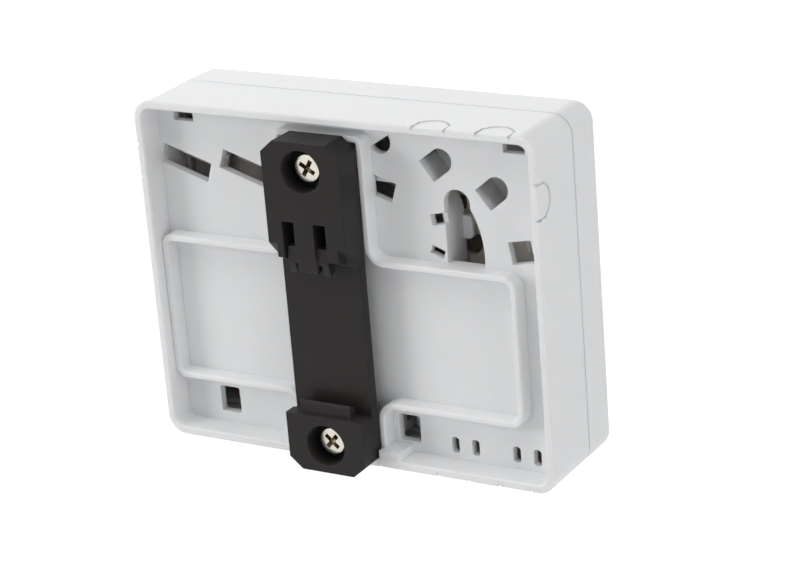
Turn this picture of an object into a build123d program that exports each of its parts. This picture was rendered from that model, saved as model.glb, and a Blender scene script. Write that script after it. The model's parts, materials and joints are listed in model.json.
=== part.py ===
from build123d import *
import os
from math import atan2, degrees

# Frame: the origin is the middle of the clip's seat on the rail, +Y points towards the rail,
# +Z is up and the front cover faces -Y. A "depth" is measured from the rail seat towards the
# cover, so it is -Y. All sizes are in millimetres.

# Case
case_width = 101.4
case_height = 81.2
case_centre_x = -4.2
case_centre_z = 10.75
case_corner = 4.5
case_wall = 1.9
rim_depth = 0.2
base_length = 16.9
cover_length = 10.8
seam_gap = 0.3
recess_length = 6.4
floor_wall = 2.0
rim_chamfer = 0.3
cover_face_round = 1.4

# Cross-shaped rib on the rear of the floor
rib_wall = 1.5
rib_height = 3.9
rib_chamfer = 0.3
rib_stem_half = 11.3
rib_stem_top_gap = 2.5
rib_stem_corner = 1.8
rib_band_top = 18.7
rib_band_bottom = -16.6
rib_end_gap = 6.1
rib_wall_lap = 0.1
rib_inner_corner = 3.0
rib_outer_corner = 3.5
rib_left_corner = 2.6

# Rail that the clip is made for, and the clip
rail_height = 35.0
rail_sheet = 1.0
rail_play = 0.3
clip_width = 19.8
clip_top = 46.9
clip_bottom = -31.0
clip_front = 4.8
clip_chamfer_x = 3.2
clip_chamfer_z = 2.7
clip_ramp_top = 23.2
clip_step_half = 7.8
clip_step_bottom = 20.0
tongue_half = 2.5
slot_reach = 5.5
slot_top = 28.4
prong_play = 0.35
prong_inner = 3.3
prong_tip = 16.1
tongue_tip = 16.6
hook_half = 6.5
hook_lap = 2.7
hook_wall = 2.4
clip_notch_play = 0.4
notch_block_out = 15.3
notch_block_rise = 1.9

# Screws of the clip
clip_screw_from_end = 6.65
counterbore_radius = 4.85
screw_head_radius = 3.4
screw_head_height = 2.4
screw_head_sunk = 2.8
screw_shank_radius = 1.75
screw_length = 10.4
clip_boss_radius = 4.2
screw_play = 0.05

# Openings through the floor
guide_pitch = 16.05
guide_first_x = 38.1
guide_z = 35.3
guide_length = 13.0
guide_width = 4.7
guide_angle = 17.4
dee_width = 5.6
dee_straight = 4.4
dee_places = ((-24.85, 39.25, 143.0), (-38.25, 34.0, 140.5))
half_dee_place = (-13.5, 45.1, -122.5)
half_dee_straight = 0.1
block_slot_width = 5.6
block_slot_height = 5.2
block_slot_place = (-46.8, 23.1, -10.4)
catch_width = 5.2
catch_height = 4.2
catch_left_x = 37.5
catch_right_x = -46.4
tie_slot_width = 1.9
tie_slot_height = 3.8
tie_slot_pitch = 5.1
tie_slot_above = 3.3
hook_slot_width = 5.4
hook_slot_height = 6.4
hook_slot_beside = 4.1

# Scored knockouts in the walls
knockout_x = (-29.6, -45.0)
knockout_z = 37.1
knockout_radius = 4.0
knockout_straight = 1.7
knockout_sink = 0.15
knockout_groove = 0.4
knockout_groove_depth = 0.5
knockout_nick = 1.1

# Rear cable inlet, a crescent beside the fibre spool
inlet_left_x = -28.6
inlet_arc_x = -16.0
inlet_arc_z = 21.0
inlet_arc_radius = 21.8
inlet_end_radius = 3.2
inlet_top_z = 32.6

# Inside of the base
spool_x = -14.6
spool_z = 19.0
spool_width = 28.0
spool_height = 35.0
spool_corner = 9.0
spool_wall = 1.2
tab_near = 14.0
tab_sheet = 1.2
post_radius = 2.5
pin_radius = 1.5
pin_length = 2.6
pin_play = 0.1

# Splice tray and its comb
tray_depth = 16.0
tray_sheet = 1.5
tray_rim = 3.0
tray_rim_wall = 1.1
tray_side_gap = 2.2
tray_top_gap = 4.9
post_inset = 3.4
tray_bottom_z = 8.0
tray_corner = 4.0
comb_x = 20.0
comb_z = 28.0
comb_length = 30.0
comb_base = 1.0
comb_teeth = 5
comb_tooth = 1.3
comb_pitch = 3.9
comb_height = 4.0

# Adapters, hanging through the bottom wall
adapter_first_x = 0.6
adapter_pitch = 16.0
adapter_count = 2
adapter_depth = 17.35
adapter_width = 9.3
adapter_tall = 12.9
adapter_length = 28.0
adapter_proud = 0.6
port_width = 7.5
port_tall = 9.2
port_play = 0.3
holder_plate = 1.4
holder_play = 0.1
barrel_radius = 2.2
barrel_length = 6.6
sleeve_radius = 1.6
sleeve_bore = 1.25
sleeve_length = 11.4
arm_length = 8.5
arm_width = 3.0
arm_sheet = 0.8
arm_offset = 3.5
spring_sheet = 0.35
spring_length = 7.0
cap_tube_outer = 3.2
cap_tube_inner = 2.5
cap_tube_length = 7.0
cap_flange = 1.2
cap_grip_width = 6.0
cap_grip_tall = 9.0
cap_grip_length = 4.6
cap_gap = 0.3
cap_inset = 0.4
cap_end = 1.2

# Adapter bracket
bracket_wall = 2.0
bracket_above = 5.2
bracket_margin = 12.0
bracket_top_gap = 1.3
bracket_play = 0.1
foot_length = 5.4
foot_width = 7.0
foot_sheet = 1.8
foot_boss_height = 2.0
small_screw_radius = 1.25
small_head_radius = 2.3
small_head_height = 1.6
small_screw_length = 5.0

# Cable clamp
clamp_x = -40.0
clamp_z = -11.0
clamp_length = 17.0
clamp_width = 6.0
clamp_sheet = 2.2
clamp_pitch = 12.0
clamp_boss_height = 3.0
clamp_cable_radius = 2.2

# Cover screw
cover_boss_x = -22.0
cover_boss_z = -17.0
cover_boss_radius = 3.2
cover_boss_gap = 1.2
cover_screw_play = 0.3
cover_counterbore_play = 0.35
cover_web = 1.0

# Cover lip inside the base
lip_wall = 1.1
lip_reach = 1.6
lip_play = 0.3

# Places worked out from the sizes above
floor_rear = rim_depth + recess_length
floor_front = floor_rear + floor_wall
seam_base = rim_depth + base_length
seam_cover = seam_base + seam_gap
front_depth = seam_cover + cover_length
cover_inside = front_depth - case_wall
rib_rear = floor_rear - rib_height
left_x = case_centre_x + case_width / 2
right_x = case_centre_x - case_width / 2
top_z = case_centre_z + case_height / 2
bottom_z = case_centre_z - case_height / 2
inner_left = left_x - case_wall
inner_right = right_x + case_wall
inner_top = top_z - case_wall
inner_bottom = bottom_z + case_wall
clip_half = clip_width / 2
seat_top = rail_height / 2 + rail_play
seat_bottom = -rail_height / 2 - rail_play
hook_gap = rail_sheet + rail_play
clip_screw_z = (clip_top - clip_screw_from_end, clip_bottom + clip_screw_from_end)
adapter_x = [adapter_first_x + adapter_pitch * i for i in range(adapter_count)]
adapter_out = bottom_z - adapter_proud
adapter_in = adapter_out + adapter_length
adapter_mid = (adapter_out + adapter_in) / 2
bracket_z = bottom_z + bracket_above
bracket_left = adapter_x[-1] + bracket_margin
bracket_right = adapter_x[0] - bracket_margin
tray_front = tray_depth + tray_sheet
adapter_near = adapter_depth - adapter_tall / 2
adapter_far = adapter_depth + adapter_tall / 2


def slab(outline, near, far):
    """A flat outline in X and Z, made solid from one depth to another."""
    return extrude(Plane.XZ.offset(near) * outline, amount=far - near)


def case_outline(inset=0.0):
    """The case's rounded outline, or one that lies inside it by the inset."""
    corner = max(case_corner - inset, 0.8)
    outline = RectangleRounded(case_width - 2 * inset, case_height - 2 * inset, corner)
    return Pos(case_centre_x, case_centre_z) * outline


def cross_outline(inset):
    """The rib's cross: a band behind the rail and a stem behind the clip."""
    half = rib_stem_half - inset
    stem_top = inner_top - rib_stem_top_gap - inset
    band_top = rib_band_top - inset
    band_bottom = rib_band_bottom + inset
    band_end = inner_right + rib_end_gap + inset
    wall_end = inner_left + rib_wall_lap - inset
    stem_end = inner_bottom - case_wall / 2
    inner = rib_inner_corner + inset
    outer = rib_outer_corner - inset
    small = rib_stem_corner - inset
    left = rib_left_corner - inset
    corners = [
        ((wall_end, band_top), left),
        ((half, band_top), inner),
        ((half, stem_top), small),
        ((-half, stem_top), small),
        ((-half, band_top), inner),
        ((band_end, band_top), outer),
        ((band_end, band_bottom), outer),
        ((-half, band_bottom), inner),
        ((-half, stem_end), 0),
        ((half, stem_end), 0),
        ((half, band_bottom), inner),
        ((wall_end, band_bottom), left),
    ]
    points = [point for point, radius in corners]
    radii = [radius for point, radius in corners]
    return make_face(FilletPolyline(*points, radius=radii, close=True))


def cross_rib():
    """The thin rib that follows the cross, with its rear edges chamfered."""
    rib = slab(cross_outline(0) - cross_outline(rib_wall), rib_rear, floor_rear + floor_wall / 2)
    rear_edges = rib.edges().filter_by(lambda e: abs(e.center().Y + rib_rear) < 0.01)
    long_edges = rear_edges.filter_by(lambda e: e.length > rib_wall + 0.2)
    return chamfer(long_edges, rib_chamfer)


def dee(straight):
    """A D-shaped opening: flat side on the local Y axis, round end towards +X."""
    round_end = Pos(straight, 0) * Circle(dee_width / 2)
    body = Pos(straight / 2, 0) * Rectangle(max(straight, 0.01), dee_width)
    behind = Pos(-dee_width, 0) * Rectangle(2 * dee_width, 2 * dee_width)
    return round_end + body - behind


# Each guide opening: place, turn, outline, and the post that carries its tab
guide_bar = Rectangle(guide_length, guide_width)
guide_post = Pos(0, guide_width / 2 + tab_sheet / 2) * Rectangle(guide_length, tab_sheet)
dee_post = Pos(-tab_sheet / 2, 0) * Rectangle(tab_sheet, dee_width)
hook_slot = RectangleRounded(hook_slot_width, hook_slot_height, 0.6)
hook_post = Pos(0, hook_slot_height / 2 + tab_sheet / 2) * Rectangle(hook_slot_width, tab_sheet)
block_slot = Rectangle(block_slot_width, block_slot_height)
block_post = Pos(-(block_slot_width + tab_sheet) / 2, 0) * Rectangle(tab_sheet, block_slot_height)


def guide_openings():
    """The openings under the fibre guides, as (location, opening, post)."""
    found = []
    for step in range(4):
        x = guide_first_x - guide_pitch * step
        found.append((Pos(x, guide_z) * Rot(0, 0, guide_angle), guide_bar, guide_post))
    for x, z, turn in dee_places:
        found.append((Pos(x, z) * Rot(0, 0, turn), dee(dee_straight), dee_post))
    x, z, turn = half_dee_place
    found.append((Pos(x, z) * Rot(0, 0, turn), dee(half_dee_straight), dee_post))
    x, z, turn = block_slot_place
    found.append((Pos(x, z) * Rot(0, 0, turn), block_slot, block_post))
    return found


def hook_openings():
    """The two openings under the hooks that hold the adapter bracket's ends."""
    z = inner_bottom + 2.5 + hook_slot_height / 2
    return [Pos(bracket_left + hook_slot_beside, z), Pos(bracket_right - hook_slot_beside, z)]


def inlet_outline():
    """The crescent cable inlet with the two square openings beside it."""
    crescent = Pos(inlet_arc_x, inlet_arc_z) * Circle(inlet_arc_radius)
    top = Pos(inlet_left_x - inlet_end_radius, inlet_top_z) * Circle(inlet_end_radius)
    span = inlet_top_z - rib_band_top
    window = Pos(inlet_left_x - 10, rib_band_top + span / 2) * Rectangle(20, span)
    opening = crescent & window
    upper = Pos(-27.0, 28.6) * Rot(0, 0, -12) * Rectangle(3.8, 2.6)
    lower = Pos(-26.2, 21.0) * Rot(0, 0, 20) * Rectangle(3.4, 2.0)
    return opening + top + upper + lower


def floor_openings():
    """Everything that is cut through the floor, as one flat outline."""
    openings = inlet_outline()
    for place, outline, post in guide_openings():
        openings += place * outline
    for place in hook_openings():
        openings += place * hook_slot
    for x in (catch_left_x, catch_right_x):
        openings += Pos(x, inner_top - catch_height / 2) * Rectangle(catch_width, catch_height)
    for x in knockout_x:
        for side in (-1, 1):
            z = inner_bottom + tie_slot_above
            slot = RectangleRounded(tie_slot_width, tie_slot_height, 0.7)
            openings += Pos(x + side * tie_slot_pitch / 2, z) * slot
    return openings & case_outline(case_wall)


def knockout_cut():
    """Sunk panel, scored edge and rim nicks of one knockout: +Y to the rim, +Z out of the wall."""
    def half_round(inset):
        radius = knockout_radius - inset
        tail = Pos(0, 2) * Rectangle(2 * radius, 2 * knockout_straight + 4)
        return Pos(0, -knockout_straight) * (Circle(radius) + tail)

    above = 1.0
    panel = extrude(half_round(0), amount=knockout_sink + above)
    score = extrude(half_round(0) - half_round(knockout_groove), amount=knockout_groove_depth + above)
    cut = Pos(0, 0, -knockout_sink) * panel + Pos(0, 0, -knockout_groove_depth) * score
    half = knockout_nick / 2
    wedge = make_face(Polyline((0, -knockout_nick), (half, above), (-half, above), close=True))
    for side in (-1, 1):
        place = Plane(origin=(side * knockout_radius, above, 0), x_dir=(1, 0, 0), z_dir=(0, -1, 0))
        cut += extrude(place * wedge, amount=knockout_nick + above)
    return cut


def knockout_places():
    """One plane on the rim's outer edge for each knockout."""
    rim_y = -rim_depth
    places = []
    for x in knockout_x:
        places.append(Plane(origin=(x, rim_y, top_z), x_dir=(1, 0, 0), z_dir=(0, 0, 1)))
        places.append(Plane(origin=(x, rim_y, bottom_z), x_dir=(-1, 0, 0), z_dir=(0, 0, -1)))
    places.append(Plane(origin=(left_x, rim_y, knockout_z), x_dir=(0, 0, -1), z_dir=(1, 0, 0)))
    places.append(Plane(origin=(right_x, rim_y, knockout_z), x_dir=(0, 0, 1), z_dir=(-1, 0, 0)))
    return places


def port_outline():
    """The opening of one adapter in the bottom wall, seen from below."""
    return Rectangle(adapter_width + 2 * port_play, adapter_tall + 2 * port_play)


def port_cutters():
    """A cutter through the bottom wall for each adapter, open at the seam."""
    plane = Plane.XY.offset(bottom_z - 1)
    shapes = [Pos(x, -adapter_depth) * port_outline() for x in adapter_x]
    return [extrude(plane * shape, amount=case_wall + lip_wall + lip_play + 2) for shape in shapes]


def small_boss(x, z, height):
    """A boss on the floor's front with a pilot bore for a small screw."""
    boss = slab(Pos(x, z) * Circle(small_head_radius), floor_front, floor_front + height)
    return boss


def foot_places():
    """Centres of the bracket's two feet."""
    z = bracket_z + bracket_wall / 2 + foot_width / 2
    return [(bracket_left - foot_length / 2, z), (bracket_right + foot_length / 2, z)]


def clamp_places():
    """Centres of the cable clamp's two bosses."""
    return [(clamp_x - clamp_pitch / 2, clamp_z), (clamp_x + clamp_pitch / 2, clamp_z)]


def tray_posts():
    """Centres of the four posts that carry the splice tray."""
    left = inner_left - tray_side_gap - post_inset
    right = inner_right + tray_side_gap + post_inset
    high = inner_top - tray_top_gap - post_inset
    low = tray_bottom_z + post_inset
    return [(left, high), (right, high), (left, low), (right, low)]


def build_base():
    """The base moulding: walls, slotted floor, rear rib, bosses and fibre guides."""
    base = slab(case_outline(), rim_depth, seam_base)
    base -= slab(case_outline(case_wall), rim_depth, floor_rear)
    base -= slab(case_outline(case_wall), floor_front, seam_base)
    rim_edges = base.edges().filter_by(lambda e: abs(e.center().Y + rim_depth) < 0.01)
    base = chamfer(rim_edges, rim_chamfer)
    base -= slab(floor_openings(), floor_rear - 1, floor_front + 1)
    base += cross_rib()

    # Seat for the clip: a boss for each screw and a notch where the clip passes the rim
    for z in clip_screw_z:
        base += slab(Pos(0, z) * Circle(clip_boss_radius), rib_rear, floor_front)
    notch_width = clip_width + 2 * clip_notch_play
    notch_height = inner_bottom - bottom_z + 2
    notch = Pos(0, bottom_z + notch_height / 2 - 2) * Rectangle(notch_width, notch_height)
    base -= slab(notch, rim_depth - 1, rib_rear)
    bore = screw_shank_radius + screw_play
    bore_end = screw_length + screw_head_sunk - clip_front
    for z in clip_screw_z:
        base -= slab(Pos(0, z) * Circle(bore), rib_rear - 1, bore_end + screw_play)

    # Thickened wall on each side of the clip's notch
    for side in (-1, 1):
        middle = Pos(side * (rib_stem_half + notch_block_out) / 2, inner_bottom - 0.5 + notch_block_rise / 2)
        block = middle * Rectangle(notch_block_out - rib_stem_half + rib_wall, notch_block_rise + 1.0)
        base += slab(block, rim_depth + rim_chamfer, floor_rear + 0.5)

    for place in knockout_places():
        base -= place * knockout_cut()
    for cutter in port_cutters():
        base -= cutter

    # Fibre guides on the front of the floor
    tab_far = tab_near + tab_sheet
    for place, opening, post in guide_openings():
        base += slab((place * post) & case_outline(case_wall), floor_front - 0.5, tab_far)
        base += slab((place * (opening + post)) & case_outline(case_wall + 0.5), tab_near, tab_far)
    ring = RectangleRounded(spool_width, spool_height, spool_corner)
    core = RectangleRounded(
        spool_width - 2 * spool_wall, spool_height - 2 * spool_wall, spool_corner - spool_wall
    )
    base += slab(Pos(spool_x, spool_z) * (ring - core), floor_front - 0.5, tab_far)
    tab = Pos(inlet_left_x - 0.6, 24.6) * RectangleRounded(3.6, 5.4, 1.0)
    base += slab(tab, tab_near, tab_far)

    # Hooks beside the bracket
    for place in hook_openings():
        base += slab(place * hook_post, floor_front - 0.5, tab_far)
        base += slab(place * (hook_slot + hook_post), tab_near, tab_far)

    # Bosses and posts
    pilot = small_screw_radius + screw_play
    for places, height in ((foot_places(), foot_boss_height), (clamp_places(), clamp_boss_height)):
        for x, z in places:
            base += small_boss(x, z, height)
            end = floor_front + height
            base -= slab(Pos(x, z) * Circle(pilot), end - 3.4, end)
    for x, z in tray_posts():
        base += slab(Pos(x, z) * Circle(post_radius), floor_front - 0.5, tray_depth)
        base += slab(Pos(x, z) * Circle(pin_radius), tray_depth - 0.5, tray_depth + pin_length)
    boss = Pos(cover_boss_x, cover_boss_z) * Circle(cover_boss_radius)
    base += slab(boss, floor_front - 0.5, cover_inside - cover_boss_gap)
    bore = Pos(cover_boss_x, cover_boss_z) * Circle(small_screw_radius + cover_screw_play)
    base -= slab(bore, cover_inside - cover_boss_gap - 9.0, cover_inside)
    return base


def build_cover():
    """The front cover: a shallow shell with a locating lip and the screw's counterbore."""
    cover = slab(case_outline(), seam_cover, front_depth)
    front_edges = cover.edges().filter_by(lambda e: abs(e.center().Y + front_depth) < 0.01)
    cover = fillet(front_edges, cover_face_round)
    cover -= slab(case_outline(case_wall), seam_cover, cover_inside)

    # The lip stands inside the base's walls and is joined to the cover's own wall
    lip_outer = case_wall + lip_play
    lip_inner = lip_outer + lip_wall
    lip = slab(case_outline(lip_outer) - case_outline(lip_inner), seam_base - lip_reach, seam_cover)
    joined = slab(case_outline(case_wall) - case_outline(lip_inner), seam_cover, seam_cover + lip_reach)
    cover += lip + joined

    # Screw boss with a counterbore from the front
    head_bore = small_head_radius + cover_counterbore_play
    place = Pos(cover_boss_x, cover_boss_z)
    sleeve = place * Circle(head_bore + cover_web)
    cover += slab(sleeve, cover_inside - cover_boss_gap + 0.3, front_depth - cover_face_round)
    seat = cover_inside - cover_boss_gap + 0.3 + cover_web
    cover -= slab(place * Circle(head_bore), seat, front_depth + 1)
    clear = small_screw_radius + cover_screw_play
    cover -= slab(place * Circle(clear), seam_cover, front_depth + 1)
    for cutter in port_cutters():
        cover -= cutter
    return cover


def prism_x(points, half):
    """A Y-Z profile extruded to both sides of the clip's middle plane."""
    face = Plane.YZ * make_face(Polyline(*points, close=True))
    return extrude(face, amount=half, both=True)


def build_clip():
    """The rail clip: one moulding with a spring tongue above and a fixed hook below."""
    back = -rib_rear
    body = prism_x(
        [
            (back, clip_bottom),
            (clip_front, clip_bottom),
            (clip_front, seat_bottom + 0.4),
            (hook_gap, seat_bottom + 0.4),
            (hook_gap, seat_bottom),
            (0, seat_bottom),
            (0, seat_top),
            (clip_front, clip_ramp_top),
            (clip_front, clip_top),
            (back, clip_top),
        ],
        clip_half,
    )

    # Fixed hook in front of the rail's lower edge
    hook = prism_x(
        [
            (hook_gap, seat_bottom - 0.5),
            (hook_gap + hook_wall, seat_bottom - 0.5),
            (hook_gap + hook_wall, seat_bottom + hook_lap + 0.3),
            (hook_gap + hook_wall - 0.5, seat_bottom + hook_lap + 0.8),
            (hook_gap, seat_bottom + hook_lap - 0.2),
        ],
        hook_half,
    )
    body += hook

    # Upper step, then the tongue cut free by two slots and a slit behind it
    step = prism_x(
        [
            (hook_gap + 0.3, clip_ramp_top + 0.5),
            (clip_front, clip_ramp_top + 0.5),
            (clip_front, clip_step_bottom),
            (hook_gap + 0.3, clip_step_bottom - 1.4),
        ],
        clip_step_half,
    )
    body += step
    slots = prism_x(
        [
            (0, clip_step_bottom - 2.4),
            (clip_front + 1, clip_step_bottom - 2.4),
            (clip_front + 1, slot_top),
            (0, slot_top),
        ],
        slot_reach,
    )
    body -= slots
    tongue = prism_x(
        [
            (hook_gap, slot_top + 0.5),
            (clip_front, slot_top + 0.5),
            (clip_front, clip_step_bottom + 1.0),
            (clip_front - 0.6, tongue_tip),
            (hook_gap, tongue_tip + 0.8),
        ],
        tongue_half,
    )
    for notch in range(-2, 3):
        cut = Pos(notch * 1.1, 0, tongue_tip) * Rot(0, 45, 0) * Box(0.55, 12, 0.55)
        tongue -= cut
    body += tongue
    head = prism_x(
        [
            (hook_gap, clip_step_bottom + 2.6),
            (clip_front - 0.9, clip_step_bottom + 2.6),
            (clip_front - 0.6, clip_step_bottom - 0.6),
            (clip_front - 1.6, prong_tip),
            (hook_gap, prong_tip + 1.0),
        ],
        slot_reach - prong_play,
    )
    between = Pos(0, 0, prong_tip) * Box(2 * prong_inner, 20, 5.2)
    body += head - between

    # Chamfered corners at both ends
    for end, sign in ((clip_top, 1), (clip_bottom, -1)):
        for side in (-1, 1):
            corner = make_face(
                Polyline(
                    (side * (clip_half - clip_chamfer_x), end + sign * 0.01),
                    (side * (clip_half + 1), end + sign * 0.01),
                    (side * (clip_half + 1), end - sign * (clip_chamfer_z + 1 * clip_chamfer_z / clip_chamfer_x)),
                    (side * clip_half, end - sign * clip_chamfer_z),
                    close=True,
                )
            )
            body -= slab(corner, -clip_front - 1, rib_rear + 1)

    # Counterbored screw holes
    seat_y = clip_front - screw_head_sunk - screw_head_height
    for z in clip_screw_z:
        place = Pos(0, z)
        body -= slab(place * Circle(counterbore_radius), -clip_front - 1, -seat_y)
        body -= slab(place * Circle(screw_shank_radius + 0.3), -clip_front - 1, rib_rear + 1)
    return body


def pan_screw(head_radius, head_height, shank_radius, length):
    """A pan-head screw along -Z from the head's seat at Z = 0, with a cross recess."""
    point = shank_radius * 0.25
    profile = make_face(
        Polyline(
            (0, 0),
            (0, head_height),
            (head_radius * 0.62, head_height * 0.95),
            (head_radius * 0.9, head_height * 0.76),
            (head_radius, head_height * 0.5),
            (head_radius, 0),
            (shank_radius, 0),
            (shank_radius, -length + shank_radius),
            (point, -length),
            (0, -length),
            close=True,
        )
    )
    screw = revolve(Plane.XZ * profile, Axis.Z)
    blade = head_radius * 0.28
    for turn in (0, 90):
        wing = Plane.XY.offset(head_height) * Rectangle(head_radius * 1.15, blade)
        screw -= Rot(0, 0, turn) * extrude(wing, amount=-head_height * 0.7, taper=9)
    return screw


def screws_towards_front(places, seat_depth, screw):
    """Screws put in from the rear, heads towards +Y."""
    return [Plane(origin=(x, -seat_depth, z), x_dir=(1, 0, 0), z_dir=(0, 1, 0)) * screw for x, z in places]


def screws_towards_rear(places, seat_depth, screw):
    """Screws put in from the front, heads towards -Y."""
    return [Plane(origin=(x, -seat_depth, z), x_dir=(1, 0, 0), z_dir=(0, -1, 0)) * screw for x, z in places]


def build_tray():
    """The splice tray: a rimmed plate with round-ended openings, held on four posts."""
    left = inner_left - tray_side_gap
    right = inner_right + tray_side_gap
    high = inner_top - tray_top_gap
    width = left - right
    height = high - tray_bottom_z
    centre = Pos((left + right) / 2, (high + tray_bottom_z) / 2)
    outer = RectangleRounded(width, height, tray_corner)
    inner = RectangleRounded(width - 2 * tray_rim_wall, height - 2 * tray_rim_wall, tray_corner - tray_rim_wall)
    tray = slab(centre * outer, tray_depth, tray_front)
    tray += slab(centre * (outer - inner), tray_front - 0.5, tray_front + tray_rim)
    for x, z in tray_posts():
        tray -= slab(Pos(x, z) * Circle(pin_radius + pin_play), tray_depth - 1, tray_front + 1)

    # Openings under the tray's own fibre tabs, and the tabs
    tray -= slab(Pos(-29.4, 22.4) * Rot(0, 0, -90) * dee(2.2), tray_depth - 1, tray_front + 1)
    tray -= slab(Pos(-27.2, 29.6) * RectangleRounded(3.4, 3.2, 0.6), tray_depth - 1, tray_front + 1)
    for x, z, turn in ((5.0, high - 1.6, 0), (-30.0, high - 1.6, 0), (5.0, tray_bottom_z + 1.6, 0)):
        tab = Pos(x, z) * RectangleRounded(8.0, 5.0, 1.2)
        tray += slab(tab & (centre * outer), tray_front + tray_rim - 1.0, tray_front + tray_rim)
        tray -= slab(tab & (centre * inner), tray_depth - 1, tray_front + 0.1)

    # Winding core
    ring = Circle(13.0) - Circle(11.8)
    tray += slab(Pos(-22.0, 26.0) * (ring - Rectangle(6, 60) - Rectangle(60, 6)), tray_front - 0.5, tray_front + tray_rim)
    return tray


def build_comb():
    """The splice holder: a base with a row of springy teeth."""
    width = comb_pitch * (comb_teeth - 1) + comb_tooth
    comb = slab(Pos(comb_x, comb_z) * RectangleRounded(comb_length, width + 2, 1.0), tray_front, tray_front + comb_base)
    for i in range(comb_teeth):
        z = comb_z + (i - (comb_teeth - 1) / 2) * comb_pitch
        for x in (comb_x - comb_length / 3, comb_x, comb_x + comb_length / 3):
            tooth = Pos(x, z) * Rectangle(comb_length / 5, comb_tooth)
            comb += slab(tooth, tray_front + comb_base - 0.3, tray_front + comb_base + comb_height)
    return comb


def build_bracket():
    """The adapter bracket: a windowed wall standing on two screwed feet."""
    near = floor_front
    far = cover_inside - bracket_top_gap
    middle = (bracket_left + bracket_right) / 2
    wall = Pos(middle, -(near + far) / 2, bracket_z) * Box(bracket_left - bracket_right, far - near, bracket_wall)
    for x in adapter_x:
        window = Box(adapter_width + 2 * bracket_play, adapter_tall + 2 * bracket_play, bracket_wall + 2)
        wall -= Pos(x, -adapter_depth, bracket_z) * window
    foot_near = floor_front + foot_boss_height
    for x, z in foot_places():
        bottom = bracket_z
        height = z + foot_width / 2 - bottom
        foot = Pos(x, bottom + height / 2) * Rectangle(foot_length, height)
        wall += slab(foot, foot_near, foot_near + foot_sheet)
        wall -= slab(Pos(x, z) * Circle(small_screw_radius + 0.2), foot_near - 1, foot_near + foot_sheet + 1)
    return wall


def build_clamp():
    """The cable clamp: a bar with an arch over the cable."""
    near = floor_front + clamp_boss_height
    far = near + clamp_sheet
    clamp = slab(Pos(clamp_x, clamp_z) * RectangleRounded(clamp_length, clamp_width, 1.0), near, far)
    crown = Plane(origin=(clamp_x, -far, clamp_z - clamp_width / 2), x_dir=(1, 0, 0), z_dir=(0, 0, 1))
    clamp += extrude(crown * Circle(clamp_cable_radius + 1.4), amount=clamp_width)
    tunnel = Plane(origin=(clamp_x, -near, clamp_z - clamp_width), x_dir=(1, 0, 0), z_dir=(0, 0, 1))
    clamp -= extrude(tunnel * Circle(clamp_cable_radius), amount=2 * clamp_width)
    clamp -= slab(Pos(clamp_x, clamp_z) * Rectangle(clamp_length + 2, clamp_width + 2), near - 8, near)
    for x, z in clamp_places():
        clamp -= slab(Pos(x, z) * Circle(small_screw_radius + 0.2), near - 1, far + 1)
    return clamp


def along_z(outline, low, high, x):
    """An outline in X and Y round the adapter's axis, made solid between two heights."""
    return extrude(Plane.XY.offset(low) * (Pos(x, -adapter_depth) * outline), amount=high - low)


def build_adapter_body(x):
    """The adapter's housing: a square tube with latch windows and a thicker middle."""
    body = along_z(Rectangle(adapter_width, adapter_tall), adapter_out, adapter_in, x)
    body = fillet(body.edges().filter_by(Axis.Z), 0.4)
    body -= along_z(Rectangle(port_width, port_tall), adapter_out, adapter_in, x)
    for low in (adapter_out + 5.5, adapter_in - 9.5):
        window = Rectangle(3.4, adapter_tall + 2) - Rectangle(3.4, port_tall - 0.2)
        body -= along_z(window, low, low + 4.0, x)
    return body


def build_holder(x, sign):
    """One sleeve holder: a plate with a barrel and two latch arms towards its port."""
    low = adapter_mid
    plate = Rectangle(port_width - 2 * holder_play, port_tall - 2 * holder_play)

    def between(outline, start, end):
        a, b = sorted((low + sign * start, low + sign * end))
        return along_z(outline, a, b, x)

    holder = between(plate, 0, holder_plate)
    holder += between(Circle(barrel_radius), 0, barrel_length)
    holder -= between(Circle(sleeve_radius + holder_play), 0, sleeve_length / 2 + holder_play)
    holder -= between(Circle(sleeve_bore), 0, barrel_length + 1)
    for side in (-1, 1):
        arm = Pos(0, side * (arm_offset + arm_sheet / 2)) * Rectangle(arm_width, arm_sheet)
        holder += between(arm, holder_plate / 2, arm_length)
    return holder


def build_sleeve(x):
    """The ceramic sleeve, split along one side."""
    ring = Circle(sleeve_radius) - Circle(sleeve_bore)
    slit = Pos(sleeve_radius, 0) * Rectangle(2 * (sleeve_radius - sleeve_bore) + 1, 0.3)
    return along_z(ring - slit, adapter_mid - sleeve_length / 2, adapter_mid + sleeve_length / 2, x)


def build_spring(x):
    """The steel clip round the housing, with two bent-out lances."""
    low = bracket_z + bracket_wall / 2
    half = adapter_width / 2
    outer = Rectangle(adapter_width + 2 * spring_sheet, adapter_tall + 2 * spring_sheet)
    open_side = Pos(0, adapter_tall / 2) * Rectangle(adapter_width + 4, 4.0)
    band = outer - Rectangle(adapter_width, adapter_tall) - open_side
    spring = along_z(band, low + 0.3, low + 0.3 + spring_length, x)
    for side in (-1, 1):
        lance = make_face(
            Polyline(
                (x + side * (half + 0.05), low + 0.3 + spring_length),
                (x + side * (half + spring_sheet), low + 0.3 + spring_length),
                (x + side * (half + spring_sheet + 1.2), low + 0.4),
                (x + side * (half + spring_sheet + 0.85), low + 0.3),
                close=True,
            )
        )
        spring += slab(lance, adapter_depth - 1.5, adapter_depth + 1.5)
    return spring


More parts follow.
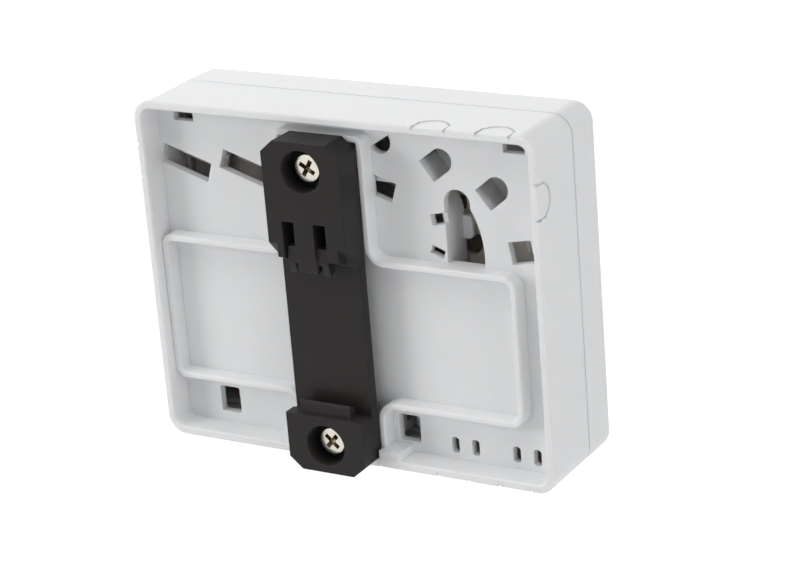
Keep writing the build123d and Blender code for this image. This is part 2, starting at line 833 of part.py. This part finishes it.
def build_cap(x, sign):
    """A dust cap: a tube round the barrel, a flange and a ribbed grip."""
    face = adapter_out if sign < 0 else adapter_in
    gap = cap_gap if sign < 0 else 0.0

    def between(outline, start, end):
        a, b = sorted((face + sign * start, face + sign * end))
        return along_z(outline, a, b, x)

    flange = Rectangle(adapter_width - cap_inset, adapter_tall - cap_inset)
    cap = between(flange, gap, gap + cap_flange)
    cap += between(Circle(cap_tube_outer), -cap_tube_length, gap + 0.3)
    end = gap + cap_flange + cap_grip_length
    grip = Rectangle(cap_grip_width, cap_grip_tall)
    cap += between(grip, gap + cap_flange - 0.3, end)
    cap -= between(Circle(cap_tube_inner), -cap_tube_length, end - cap_end)
    for row in range(3):
        start = gap + cap_flange + 0.8 + row * 1.3
        groove = Rectangle(cap_grip_width + 1, 2 * cap_grip_tall) - Rectangle(cap_grip_width - 0.5, 40)
        cap -= between(groove, start, start + 0.6)
    return cap


def save(name, shape):
    """Writes one sub-part."""
    bodies = shape if isinstance(shape, list) else [shape]
    model = Compound(children=bodies) if len(bodies) > 1 else bodies[0]
    export_step(model, f"parts/{name}.step")


def build_all():
    """Every sub-part by name."""
    clip_screw = pan_screw(screw_head_radius, screw_head_height, screw_shank_radius, screw_length - screw_head_height)
    small_screw = pan_screw(small_head_radius, small_head_height, small_screw_radius, small_screw_length)
    head_seat = -(clip_front - screw_head_sunk - screw_head_height)
    foot_top = floor_front + foot_boss_height + foot_sheet
    clamp_top = floor_front + clamp_boss_height + clamp_sheet
    cover_seat = cover_inside - cover_boss_gap + 0.3 + cover_web
    cover_place = [(cover_boss_x, cover_boss_z)]
    cover_screw = pan_screw(small_head_radius, small_head_height, small_screw_radius, 8.0)
    parts = {
        "base_housing": build_base(),
        "front_cover": build_cover(),
        "rail_clip": build_clip(),
        "clip_screws": screws_towards_front([(0, z) for z in clip_screw_z], head_seat, clip_screw),
        "cover_screw": screws_towards_rear(cover_place, cover_seat, cover_screw),
        "splice_tray": build_tray(),
        "splice_holder": build_comb(),
        "adapter_bracket": build_bracket(),
        "bracket_screws": screws_towards_rear(foot_places(), foot_top, small_screw),
        "cable_clamp": build_clamp(),
        "clamp_screws": screws_towards_rear(clamp_places(), clamp_top, small_screw),
    }
    for number, x in enumerate(adapter_x, start=1):
        parts[f"adapter_{number}_body"] = build_adapter_body(x)
        parts[f"adapter_{number}_outer_holder"] = build_holder(x, -1)
        parts[f"adapter_{number}_inner_holder"] = build_holder(x, 1)
        parts[f"adapter_{number}_sleeve"] = build_sleeve(x)
        parts[f"adapter_{number}_spring"] = build_spring(x)
        parts[f"adapter_{number}_outer_cap"] = build_cap(x, -1)
        parts[f"adapter_{number}_inner_cap"] = build_cap(x, 1)
    return parts


os.makedirs("parts", exist_ok=True)
for name, shape in build_all().items():
    save(name, shape)
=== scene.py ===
"""Studio scene of a small fibre box that clips to a rail, seen from its rear."""

import json
import math

import bmesh
import bpy
from mathutils import Matrix, Vector


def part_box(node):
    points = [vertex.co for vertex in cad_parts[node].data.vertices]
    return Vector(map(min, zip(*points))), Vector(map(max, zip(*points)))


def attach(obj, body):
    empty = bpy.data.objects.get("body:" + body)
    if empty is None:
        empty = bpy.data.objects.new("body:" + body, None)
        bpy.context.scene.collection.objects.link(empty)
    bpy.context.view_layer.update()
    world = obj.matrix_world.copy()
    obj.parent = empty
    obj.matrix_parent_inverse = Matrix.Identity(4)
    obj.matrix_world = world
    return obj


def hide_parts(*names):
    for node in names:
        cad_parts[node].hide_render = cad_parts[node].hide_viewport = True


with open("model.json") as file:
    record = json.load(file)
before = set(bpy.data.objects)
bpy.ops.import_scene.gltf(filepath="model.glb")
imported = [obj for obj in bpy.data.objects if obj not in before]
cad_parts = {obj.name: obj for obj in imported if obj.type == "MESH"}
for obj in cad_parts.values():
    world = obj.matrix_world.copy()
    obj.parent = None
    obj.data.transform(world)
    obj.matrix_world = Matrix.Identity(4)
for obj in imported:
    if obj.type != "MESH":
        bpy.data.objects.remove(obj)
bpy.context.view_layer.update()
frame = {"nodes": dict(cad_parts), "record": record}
nodes = frame["nodes"]

# Camera
camera_place = Vector((-0.299594, 0.455905, 0.214744))
camera_forward = Vector((0.489586, -0.797907, -0.351638))
camera_up = Vector((0.113903, -0.341296, 0.933029))
camera_lens = 118.677
camera_sensor = 36.0
camera_reach = (0.01, 20.0)

# Rounded edges: real ones on the clip, shaded ones on the case
edge_widths = {"rail_clip": 0.00018}
merge_distance = 0.000002
edge_angle = math.radians(32)
case_edge = 0.00028

# How far light soaks into the case's plastic, and how much more of the red
glow_reach = 0.0012
glow_spread = (1.0, 0.78, 0.6)

# The clip's tongue and the slots beside it lie off the middle
tongue_half_span = 0.0056
tongue_levels = (0.015, 0.0286)
tongue_shift = 0.0005

# Screws: which way their heads face, and how far their crosses are turned
heads_to_rear = ("clip_screws",)
heads_to_front = ("bracket_screws", "clamp_screws", "cover_screw")
cross_first_turn = math.radians(36)
cross_spread = math.radians(24)
cross_seed = 5

# A pan head's profile, as shares of its radius and height, and the shank's tip as shares of its own
head_steps = 40
head_profile = (
    (0.0, 1.0),
    (0.5, 0.998),
    (0.8, 0.985),
    (0.91, 0.95),
    (0.97, 0.86),
    (0.995, 0.7),
    (1.0, 0.4),
    (0.99, 0.0),
)
tip_start = 0.96
tip_radius = 0.86

# The cross recess: arm and half width as shares of the head's radius, then its levels and their widths
cross_arm = 0.63
cross_half = 0.155
cross_levels = ((1.5, 1.15), (0.25, 0.72), (-0.1, 0.25))

# How screws are read off their plain CAD shapes
apart_ratio = 1.5
rim_share = 0.985
level_play = 0.00001

# Light and floor
floor_level = -0.12
floor_half = 3.0
floor_colour = (0.93, 0.93, 0.93, 1.0)
floor_shadow_share = (0.22, 0.22, 0.22, 1.0)
floor_glow = 0.9
far_floor_glow = 1.0
floor_glow_reach = (0.45, 1.1)
sky_strength = 0.24

# Soft square lamps: place, side, power and tint
lamp_target = (0.0, 0.0, 0.01)
untinted = (1.0, 1.0, 1.0)
lamps = {
    "overhead": ((0.1, 0.4, 1.25), 1.0, 7.2, untinted),
    "side": ((-1.15, 0.2, 0.18), 0.8, 5.1, (0.98, 0.99, 1.0)),
    "rear": ((1.05, 0.8, 0.38), 0.6, 6.8, untinted),
    "front": ((0.6, -1.0, 0.15), 0.9, 3.6, untinted),
}

# Mould grain: how much of its tone is fine, and how slowly the rest changes
fine_share = 0.35
fine_detail = 2.0
slow_grain = 38.0
slow_detail = 3.0

# Plating: its polish, how uneven it is, and the painted shade in its deep recesses
polish_grain = 900.0
polish_detail = 4.0
polish_range = (-0.08, 0.12)
dull_share = 0.82
scratch_strength = 0.6
scratch_depth = 0.000004
# Painted shade: deep recesses of the plating are darkened towards this brown
recess_shade_colour = (0.26, 0.18, 0.1)
recess_shade_reach = 0.0009
recess_shade_openness = (0.45, 0.85)


def add_camera():
    """The camera at the photograph's place."""
    data = bpy.data.cameras.new("camera")
    data.lens = camera_lens
    data.sensor_width = camera_sensor
    data.clip_start, data.clip_end = camera_reach
    camera = bpy.data.objects.new("camera", data)
    back = -camera_forward.normalized()
    right = camera_up.cross(back).normalized()
    up = back.cross(right)
    turn = Matrix((right, up, back)).transposed()
    camera.matrix_world = Matrix.Translation(camera_place) @ turn.to_4x4()
    bpy.context.collection.objects.link(camera)
    bpy.context.scene.camera = camera


def aim_light(name, place, side, power, tint):
    """One soft square lamp that points at the box."""
    data = bpy.data.lights.new(name, "AREA")
    data.shape = "RECTANGLE"
    data.size = data.size_y = side
    data.energy = power
    data.color = tint
    lamp = bpy.data.objects.new(name, data)
    lamp.location = place
    lamp.rotation_euler = (Vector(lamp_target) - Vector(place)).to_track_quat("-Z", "Y").to_euler()
    bpy.context.collection.objects.link(lamp)


def new_material(name):
    """An empty node material."""
    material = bpy.data.materials.new(name)
    material.use_nodes = True
    material.node_tree.nodes.clear()
    return material


class Tree:
    """Short names for adding and joining the nodes of one tree."""

    def __init__(self, tree):
        self.tree = tree

    def add(self, kind, **values):
        """Adds a node, sets its properties, and its inputs by name."""
        node = self.tree.nodes.new(kind)
        for key, value in values.items():
            if hasattr(node, key) and key not in ("Value", "Color"):
                setattr(node, key, value)
            else:
                node.inputs[key.replace("_", " ")].default_value = value
        return node

    def join(self, start, end):
        """Joins an output socket to an input socket."""
        self.tree.links.new(start, end)


def seen_ray(tree):
    """Output that is 1 for rays that show the background: seen, mirrored or passed through."""
    path = tree.add("ShaderNodeLightPath")
    seen = tree.add("ShaderNodeMath", operation="MAXIMUM")
    tree.join(path.outputs["Is Camera Ray"], seen.inputs[0])
    tree.join(path.outputs["Is Glossy Ray"], seen.inputs[1])
    both = tree.add("ShaderNodeMath", operation="MAXIMUM")
    tree.join(seen.outputs[0], both.inputs[0])
    tree.join(path.outputs["Is Transmission Ray"], both.inputs[1])
    return both.outputs[0]


def add_surroundings():
    """Pale floor, even sky and soft lamps."""
    world = bpy.data.worlds.new("studio")
    bpy.context.scene.world = world
    world.use_nodes = True
    tree = Tree(world.node_tree)
    world.node_tree.nodes.clear()
    strength = tree.add("ShaderNodeMix", data_type="FLOAT")
    strength.inputs["A"].default_value = sky_strength
    strength.inputs["B"].default_value = 1.0
    tree.join(seen_ray(tree), strength.inputs["Factor"])
    sky = tree.add("ShaderNodeBackground")
    sky.inputs["Color"].default_value = (1.0, 1.0, 1.0, 1.0)
    tree.join(strength.outputs["Result"], sky.inputs["Strength"])
    out = tree.add("ShaderNodeOutputWorld")
    tree.join(sky.outputs[0], out.inputs[0])

    mesh = bpy.data.meshes.new("floor")
    sides = ((-1, -1), (1, -1), (1, 1), (-1, 1))
    corners = [(x * floor_half, y * floor_half, floor_level) for x, y in sides]
    mesh.from_pydata(corners, [], [(0, 1, 2, 3)])
    floor = bpy.data.objects.new("floor", mesh)
    bpy.context.collection.objects.link(floor)
    material = new_material("pale_floor")
    tree = Tree(material.node_tree)
    matte = tree.add("ShaderNodeBsdfDiffuse")
    matte.inputs["Color"].default_value = floor_colour
    faint = tree.add("ShaderNodeBsdfDiffuse")
    faint.inputs["Color"].default_value = floor_shadow_share
    place = tree.add("ShaderNodeTexCoord")
    distance = tree.add("ShaderNodeVectorMath", operation="LENGTH")
    tree.join(place.outputs["Object"], distance.inputs[0])
    glow = tree.add("ShaderNodeMapRange", interpolation_type="SMOOTHSTEP")
    glow.inputs["From Min"].default_value, glow.inputs["From Max"].default_value = floor_glow_reach
    glow.inputs["To Min"].default_value = floor_glow
    glow.inputs["To Max"].default_value = far_floor_glow
    tree.join(distance.outputs["Value"], glow.inputs["Value"])
    white = tree.add("ShaderNodeEmission")
    tree.join(glow.outputs["Result"], white.inputs["Strength"])
    bright = tree.add("ShaderNodeAddShader")
    tree.join(faint.outputs[0], bright.inputs[0])
    tree.join(white.outputs[0], bright.inputs[1])
    mix = tree.add("ShaderNodeMixShader")
    tree.join(seen_ray(tree), mix.inputs[0])
    tree.join(matte.outputs[0], mix.inputs[1])
    tree.join(bright.outputs[0], mix.inputs[2])
    out = tree.add("ShaderNodeOutputMaterial")
    tree.join(mix.outputs[0], out.inputs[0])
    mesh.materials.append(material)

    for name, (place, side, power, tint) in lamps.items():
        aim_light(name, place, side, power, tint)


def group(name, inputs, outputs):
    """An empty shader group with named sockets; returns its tree, input and output nodes."""
    tree = bpy.data.node_groups.new(name, "ShaderNodeTree")
    for label, kind, value in inputs:
        socket = tree.interface.new_socket(name=label, in_out="INPUT", socket_type=kind)
        socket.default_value = value
    for label, kind in outputs:
        tree.interface.new_socket(name=label, in_out="OUTPUT", socket_type=kind)
    made = Tree(tree)
    return tree, made, made.add("NodeGroupInput"), made.add("NodeGroupOutput")


def mould_grain_group():
    """Spark-eroded mould texture with a slow change of tone over the wall."""
    tree, made, source, result = group(
        "mould_grain",
        [
            ("Color", "NodeSocketColor", (0.8, 0.8, 0.8, 1.0)),
            ("Grain per metre", "NodeSocketFloat", 5200.0),
            ("Tone change", "NodeSocketFloat", 0.04),
            ("Roughness", "NodeSocketFloat", 0.45),
            ("Roughness change", "NodeSocketFloat", 0.06),
        ],
        [("Color", "NodeSocketColor"), ("Roughness", "NodeSocketFloat"), ("Height", "NodeSocketFloat")],
    )
    place = made.add("ShaderNodeTexCoord")
    fine = made.add("ShaderNodeTexNoise", Detail=fine_detail)
    made.join(place.outputs["Object"], fine.inputs["Vector"])
    made.join(source.outputs["Grain per metre"], fine.inputs["Scale"])
    slow = made.add("ShaderNodeTexNoise", Scale=slow_grain, Detail=slow_detail)
    made.join(place.outputs["Object"], slow.inputs["Vector"])
    blend = made.add("ShaderNodeMath", operation="MULTIPLY_ADD")
    made.join(fine.outputs["Fac"], blend.inputs[0])
    blend.inputs[1].default_value = fine_share
    made.join(slow.outputs["Fac"], blend.inputs[2])
    centred = made.add("ShaderNodeMath", operation="SUBTRACT")
    made.join(blend.outputs[0], centred.inputs[0])
    centred.inputs[1].default_value = (1.0 + fine_share) / 2
    shift = made.add("ShaderNodeMath", operation="MULTIPLY")
    made.join(centred.outputs[0], shift.inputs[0])
    made.join(source.outputs["Tone change"], shift.inputs[1])
    gain = made.add("ShaderNodeMath", operation="ADD")
    made.join(shift.outputs[0], gain.inputs[0])
    gain.inputs[1].default_value = 1.0
    tone = made.add("ShaderNodeVectorMath", operation="SCALE")
    made.join(source.outputs["Color"], tone.inputs[0])
    made.join(gain.outputs[0], tone.inputs["Scale"])
    made.join(tone.outputs[0], result.inputs["Color"])
    gloss = made.add("ShaderNodeMath", operation="MULTIPLY_ADD")
    made.join(centred.outputs[0], gloss.inputs[0])
    made.join(source.outputs["Roughness change"], gloss.inputs[1])
    made.join(source.outputs["Roughness"], gloss.inputs[2])
    made.join(gloss.outputs[0], result.inputs["Roughness"])
    made.join(fine.outputs["Fac"], result.inputs["Height"])
    return tree


def add_edges(tree, bump, radius):
    """Lets a bump start from normals that are rounded over the sharp edges."""
    edges = tree.add("ShaderNodeBevel", samples=6)
    edges.inputs["Radius"].default_value = radius
    tree.join(edges.outputs[0], bump.inputs["Normal"])


def moulded(
    name,
    colour,
    roughness=0.45,
    grain=5200.0,
    depth=0.00001,
    tone=0.05,
    change=0.1,
    specular=0.5,
    edge=0.00012,
    haze=0.0,
    glow=0.0,
):
    """A moulded plastic made with the grain group."""
    material = new_material(name)
    tree = Tree(material.node_tree)
    grained = tree.add("ShaderNodeGroup")
    grained.node_tree = mould_grain
    grained.inputs["Color"].default_value = (*colour, 1.0)
    grained.inputs["Grain per metre"].default_value = grain
    grained.inputs["Tone change"].default_value = tone
    grained.inputs["Roughness"].default_value = roughness
    grained.inputs["Roughness change"].default_value = change
    bump = tree.add("ShaderNodeBump")
    bump.inputs["Strength"].default_value = 1.0
    bump.inputs["Distance"].default_value = depth
    tree.join(grained.outputs["Height"], bump.inputs["Height"])
    add_edges(tree, bump, edge)
    shader = tree.add("ShaderNodeBsdfPrincipled")
    shader.inputs["Specular IOR Level"].default_value = specular
    shader.inputs["Sheen Weight"].default_value = haze
    shader.inputs["Subsurface Weight"].default_value = glow
    shader.inputs["Subsurface Radius"].default_value = glow_spread
    shader.inputs["Subsurface Scale"].default_value = glow_reach
    tree.join(grained.outputs["Color"], shader.inputs["Base Color"])
    tree.join(grained.outputs["Roughness"], shader.inputs["Roughness"])
    tree.join(bump.outputs[0], shader.inputs["Normal"])
    out = tree.add("ShaderNodeOutputMaterial")
    tree.join(shader.outputs[0], out.inputs[0])
    return material


def plated(name, colour, roughness, edge=0.00008):
    """Plated or bright rolled metal with fine uneven polish and painted shade darkening its deep recesses."""
    material = new_material(name)
    tree = Tree(material.node_tree)
    place = tree.add("ShaderNodeTexCoord")
    polish = tree.add("ShaderNodeTexNoise", Scale=polish_grain, Detail=polish_detail)
    tree.join(place.outputs["Object"], polish.inputs["Vector"])
    rough = tree.add("ShaderNodeMapRange")
    smoothest, roughest = polish_range
    rough.inputs["To Min"].default_value = roughness + smoothest
    rough.inputs["To Max"].default_value = roughness + roughest
    tree.join(polish.outputs["Fac"], rough.inputs["Value"])
    tint = tree.add("ShaderNodeMix", data_type="RGBA")
    tint.inputs["A"].default_value = (*colour, 1.0)
    tint.inputs["B"].default_value = (*[value * dull_share for value in colour], 1.0)
    tree.join(polish.outputs["Fac"], tint.inputs["Factor"])
    bump = tree.add("ShaderNodeBump")
    bump.inputs["Strength"].default_value = scratch_strength
    bump.inputs["Distance"].default_value = scratch_depth
    tree.join(polish.outputs["Fac"], bump.inputs["Height"])
    add_edges(tree, bump, edge)
    # Painted shade: ambient occlusion darkens deep recesses such as the screw crosses towards a brown colour
    depth = tree.add("ShaderNodeAmbientOcclusion", samples=8, only_local=True)
    depth.inputs["Distance"].default_value = recess_shade_reach
    openness = tree.add("ShaderNodeMapRange")
    openness.inputs["From Min"].default_value, openness.inputs["From Max"].default_value = recess_shade_openness
    tree.join(depth.outputs["AO"], openness.inputs["Value"])
    shaded_recesses = tree.add("ShaderNodeMix", data_type="RGBA")
    shaded_recesses.inputs["A"].default_value = (*recess_shade_colour, 1.0)
    tree.join(tint.outputs["Result"], shaded_recesses.inputs["B"])
    tree.join(openness.outputs["Result"], shaded_recesses.inputs["Factor"])
    shader = tree.add("ShaderNodeBsdfPrincipled", Metallic=1.0)
    tree.join(bump.outputs[0], shader.inputs["Normal"])
    tree.join(shaded_recesses.outputs["Result"], shader.inputs["Base Color"])
    tree.join(rough.outputs["Result"], shader.inputs["Roughness"])
    out = tree.add("ShaderNodeOutputMaterial")
    tree.join(shader.outputs[0], out.inputs[0])
    return material


def soft_edged(name, width):
    """Stands in for the clip's CAD moulding: its tongue set off the middle and its edges rounded."""
    shape = bmesh.new()
    shape.from_mesh(nodes[name].data)
    bmesh.ops.remove_doubles(shape, verts=shape.verts, dist=merge_distance)
    low, high = tongue_levels
    for vertex in shape.verts:
        if abs(vertex.co.x) < tongue_half_span and low < vertex.co.z < high:
            vertex.co.x += tongue_shift
    mesh = bpy.data.meshes.new(name + "_rounded")
    shape.to_mesh(mesh)
    shape.free()
    mesh.shade_smooth()
    piece = link(name + "_rounded", mesh)
    rounding = piece.modifiers.new("rounding", "BEVEL")
    rounding.width = width
    rounding.segments = 2
    rounding.limit_method = "ANGLE"
    rounding.angle_limit = edge_angle
    rounding.use_clamp_overlap = False
    weigh = piece.modifiers.new("weigh", "WEIGHTED_NORMAL")
    weigh.weight = 100
    baked(piece)
    low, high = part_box(name)
    for vertex in piece.data.vertices:
        for axis in range(3):
            vertex.co[axis] = min(max(vertex.co[axis], low[axis]), high[axis])
    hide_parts(name)
    return piece


def screw_mesh(radius, height, shank, length):
    """A pan-head screw along Z, its seat at Z = 0, with a cross recess cut in its head."""
    outline = [(out * radius, up * height) for out, up in head_profile]
    outline += [(shank, 0.0), (shank, -tip_start * length), (tip_radius * shank, -length), (0.0, -length)]
    shape = bmesh.new()
    rings = []
    for distance, level in outline:
        if distance == 0.0:
            rings.append([shape.verts.new((0.0, 0.0, level))])
            continue
        ring = []
        for step in range(head_steps):
            angle = 2 * math.pi * step / head_steps
            ring.append(shape.verts.new((distance * math.cos(angle), distance * math.sin(angle), level)))
        rings.append(ring)
    for upper, lower in zip(rings, rings[1:]):
        for step in range(head_steps):
            after = (step + 1) % head_steps
            corners = [upper[step % len(upper)], lower[step % len(lower)]]
            if len(lower) > 1:
                corners.append(lower[after])
            if len(upper) > 1:
                corners.append(upper[after])
            shape.faces.new(corners)
    bmesh.ops.recalc_face_normals(shape, faces=shape.faces)
    mesh = bpy.data.meshes.new("screw")
    shape.to_mesh(mesh)
    shape.free()
    return mesh


def cross_cutter(radius, height):
    """The tapered cross that is cut from a screw's head."""
    shape = bmesh.new()
    arm = cross_arm * radius
    half = cross_half * radius
    outline = [(half, half), (half, arm), (-half, arm), (-half, half), (-arm, half), (-arm, -half)]
    outline += [(-half, -half), (-half, -arm), (half, -arm), (half, -half), (arm, -half), (arm, half)]
    loops = []
    for level, scale in cross_levels:
        loops.append([shape.verts.new((x * scale, y * scale, level * height)) for x, y in outline])
    for upper, lower in zip(loops, loops[1:]):
        for step in range(len(outline)):
            after = (step + 1) % len(outline)
            shape.faces.new((upper[step], lower[step], lower[after], upper[after]))
    shape.faces.new(loops[0])
    shape.faces.new(list(reversed(loops[-1])))
    bmesh.ops.recalc_face_normals(shape, faces=shape.faces)
    mesh = bpy.data.meshes.new("cross")
    shape.to_mesh(mesh)
    shape.free()
    return mesh


def link(name, mesh):
    """A new object in the scene."""
    made = bpy.data.objects.new(name, mesh)
    bpy.context.collection.objects.link(made)
    return made


def baked(piece):
    """Turns an object's modifiers into its own mesh."""
    seen = piece.evaluated_get(bpy.context.evaluated_depsgraph_get())
    mesh = bpy.data.meshes.new_from_object(seen)
    piece.modifiers.clear()
    piece.data = mesh


def screw_object(radius, height, shank, length):
    """One finished screw, to be repeated."""
    screw = link("one_screw", screw_mesh(radius, height, shank, length))
    cutter = link("one_cross", cross_cutter(radius, height))
    cut = screw.modifiers.new("cross", "BOOLEAN")
    cut.operation = "DIFFERENCE"
    cut.solver = "EXACT"
    cut.object = cutter
    baked(screw)
    bpy.data.objects.remove(cutter)
    screw.data.shade_smooth()
    screw.data.set_sharp_from_angle(angle=edge_angle)
    return screw


def repeat_group():
    """Puts one object on every point, each with its own turn, and gives the copies their material."""
    tree = bpy.data.node_groups.new("repeat_screws", "GeometryNodeTree")
    face = tree.interface
    face.new_socket(name="Points", in_out="INPUT", socket_type="NodeSocketGeometry")
    face.new_socket(name="Screw", in_out="INPUT", socket_type="NodeSocketObject")
    face.new_socket(name="Facing", in_out="INPUT", socket_type="NodeSocketRotation")
    face.new_socket(name="First turn", in_out="INPUT", socket_type="NodeSocketFloat")
    face.new_socket(name="Spread", in_out="INPUT", socket_type="NodeSocketFloat")
    face.new_socket(name="Seed", in_out="INPUT", socket_type="NodeSocketInt")
    face.new_socket(name="Material", in_out="INPUT", socket_type="NodeSocketMaterial")
    face.new_socket(name="Screws", in_out="OUTPUT", socket_type="NodeSocketGeometry")
    made = Tree(tree)
    source = made.add("NodeGroupInput")
    result = made.add("NodeGroupOutput")
    one = made.add("GeometryNodeObjectInfo")
    one.inputs["As Instance"].default_value = True
    made.join(source.outputs["Screw"], one.inputs["Object"])
    place = made.add("GeometryNodeInstanceOnPoints")
    made.join(source.outputs["Points"], place.inputs["Points"])
    made.join(one.outputs["Geometry"], place.inputs["Instance"])
    made.join(source.outputs["Facing"], place.inputs["Rotation"])
    angle = made.add("FunctionNodeRandomValue", data_type="FLOAT")
    number = made.add("GeometryNodeInputIndex")
    made.join(number.outputs[0], angle.inputs["ID"])
    made.join(source.outputs["Seed"], angle.inputs["Seed"])
    made.join(source.outputs["Spread"], angle.inputs[3])
    whole_turn = made.add("ShaderNodeMath", operation="ADD")
    made.join(source.outputs["First turn"], whole_turn.inputs[0])
    made.join(angle.outputs[1], whole_turn.inputs[1])
    turn = made.add("ShaderNodeCombineXYZ")
    made.join(whole_turn.outputs[0], turn.inputs["Z"])
    spin = made.add("GeometryNodeRotateInstances")
    made.join(place.outputs["Instances"], spin.inputs["Instances"])
    made.join(turn.outputs[0], spin.inputs["Rotation"])
    whole = made.add("GeometryNodeRealizeInstances")
    made.join(spin.outputs[0], whole.inputs[0])
    finish = made.add("GeometryNodeSetMaterial")
    made.join(whole.outputs[0], finish.inputs["Geometry"])
    made.join(source.outputs["Material"], finish.inputs["Material"])
    made.join(finish.outputs[0], result.inputs["Screws"])
    return tree


def seats(name, sign):
    """Seat points, head radius, head height, shank radius and shank length of a screw node's screws."""
    points = [vertex.co for vertex in nodes[name].data.vertices]
    low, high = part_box(name)
    top = high.y if sign > 0 else low.y
    spans = [high.x - low.x, high.z - low.z]
    size = min(spans)
    along = 0 if spans[0] > spans[1] else 2
    half = size / 2
    if max(spans) > apart_ratio * size:
        ends = (low[along] + half, high[along] - half)
    else:
        ends = ((low[along] + high[along]) / 2,)
    middle = (low + high) / 2
    centres = []
    for end in ends:
        centre = middle.copy()
        centre[along] = end
        centres.append(centre)
    first = centres[0]
    near = [p for p in points if math.hypot(p.x - first.x, p.z - first.z) < size]
    widest = max(math.hypot(p.x - first.x, p.z - first.z) for p in near)
    tip = low.y if sign > 0 else high.y
    shank = max(math.hypot(p.x - first.x, p.z - first.z) for p in near if abs(p.y - tip) < level_play)
    rims = [p.y for p in near if math.hypot(p.x - first.x, p.z - first.z) > rim_share * widest]
    seat = min(rims) if sign > 0 else max(rims)
    for centre in centres:
        centre.y = seat
    return centres, widest, abs(top - seat), shank, abs(seat - tip)


def add_screws(name, sign, material):
    """Detailed screws in place of one screw node's plain ones."""
    centres, radius, height, shank, length = seats(name, sign)
    screw = screw_object(radius, height, shank, length)
    mesh = bpy.data.meshes.new(name + "_points")
    mesh.from_pydata([tuple(centre) for centre in centres], [], [])
    piece = link(name + "_pan_head", mesh)
    repeated = piece.modifiers.new("repeat", "NODES")
    repeated.node_group = repeat_screws
    values = {
        "Screw": screw,
        "Facing": (-sign * math.pi / 2, 0.0, 0.0),
        "First turn": cross_first_turn,
        "Spread": cross_spread,
        "Seed": cross_seed,
        "Material": material,
    }
    for item in repeat_screws.interface.items_tree:
        if item.in_out == "INPUT" and item.name in values:
            repeated[item.identifier] = values[item.name]
    baked(piece)
    bpy.data.objects.remove(screw)
    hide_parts(name)
    return piece


def dress(name, material):
    """Gives one CAD node its material."""
    piece = nodes[name]
    piece.data.materials.clear()
    piece.data.materials.append(material)


add_camera()
add_surroundings()
bpy.context.scene.view_settings.view_transform = "Standard"

mould_grain = mould_grain_group()
repeat_screws = repeat_group()
finishes = {
    "case_plastic": moulded(
        "white_case", (0.83, 0.84, 0.85), 0.38, specular=0.32, edge=case_edge, glow=0.45
    ),
    "clip_plastic": moulded(
        "black_clip", (0.014, 0.012, 0.011), 0.42, grain=4200.0, depth=0.000014, tone=0.5, specular=0.2, haze=0.06
    ),
    "tray_plastic": moulded("grey_tray", (0.55, 0.5, 0.455), 0.5),
    "adapter_plastic": moulded("blue_adapter", (0.03, 0.12, 0.42), 0.4),
    "cap_plastic": moulded("soft_cap", (0.72, 0.72, 0.7), 0.5),
    "sleeve_ceramic": moulded("ceramic", (0.85, 0.84, 0.78), 0.15, depth=0.000001),
    "screw_steel": plated("nickel", (0.78, 0.74, 0.66), 0.24),
    "spring_steel": plated("bright_strip", (0.7, 0.7, 0.71), 0.3),
}
body_of = {node: body for body, names in frame["record"]["behaviour"]["bodies"].items() for node in names}
for entry in frame["record"]["subparts"]:
    node = entry["node"]
    slot = entry["material_slot"]
    dress(node, finishes[slot])
    if node in edge_widths:
        piece = soft_edged(node, edge_widths[node])
        piece.data.materials.clear()
        piece.data.materials.append(finishes[slot])
    elif node in heads_to_rear + heads_to_front:
        piece = add_screws(node, 1 if node in heads_to_rear else -1, finishes[slot])
    else:
        continue
    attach(piece, body_of[node])
